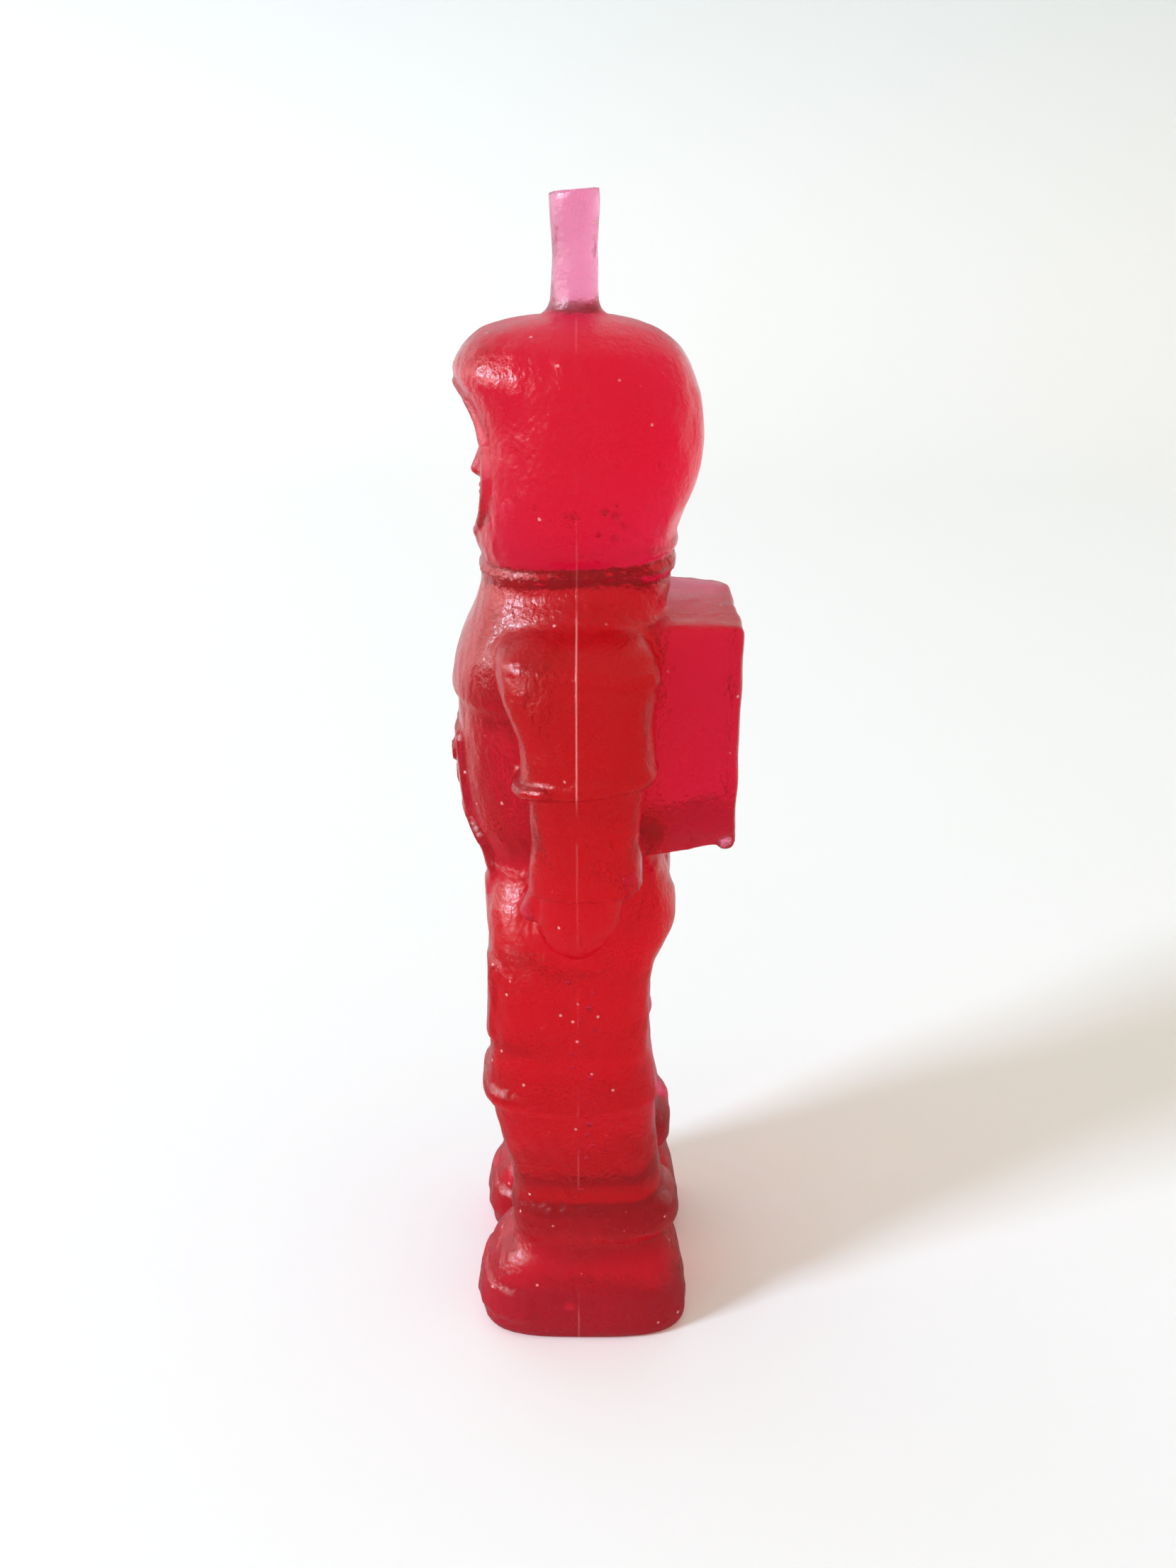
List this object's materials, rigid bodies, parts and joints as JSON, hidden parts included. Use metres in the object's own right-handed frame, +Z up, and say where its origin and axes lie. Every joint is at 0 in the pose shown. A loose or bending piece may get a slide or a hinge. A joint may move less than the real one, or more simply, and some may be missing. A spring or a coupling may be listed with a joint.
{
  "type": "cast toy spaceman figure",
  "caption": "Standing toy figure in a space suit with helmet, backpack and ringed limbs, cast in translucent red with its pouring stub left on.",
  "frame": {"origin": "middle of the bounding box, on the floor under the soles", "axes": "+Z up through the pouring stub; -Y is the way the figure faces; +X is the figure's left"},
  "size_m": [0.05, 0.0386, 0.1644],
  "materials": {
    "cast_red": "gloss"
  },
  "bodies": {
    "root": {"pour_stub": "cast_red", "helmet": "cast_red", "face": "cast_red", "neck_ring": "cast_red", "torso": "cast_red", "chest_panel": "cast_red", "backpack": "cast_red", "belt": "cast_red", "pelvis": "cast_red", "left_upper_arm": "cast_red", "right_upper_arm": "cast_red", "left_elbow_ring": "cast_red", "right_elbow_ring": "cast_red", "left_forearm": "cast_red", "right_forearm": "cast_red", "left_wrist_cuff": "cast_red", "right_wrist_cuff": "cast_red", "left_glove": "cast_red", "right_glove": "cast_red", "left_thigh": "cast_red", "right_thigh": "cast_red", "left_knee_ring": "cast_red", "right_knee_ring": "cast_red", "left_shin": "cast_red", "right_shin": "cast_red", "left_ankle_ring": "cast_red", "right_ankle_ring": "cast_red", "left_boot": "cast_red", "right_boot": "cast_red"}
  },
  "joints": []
}
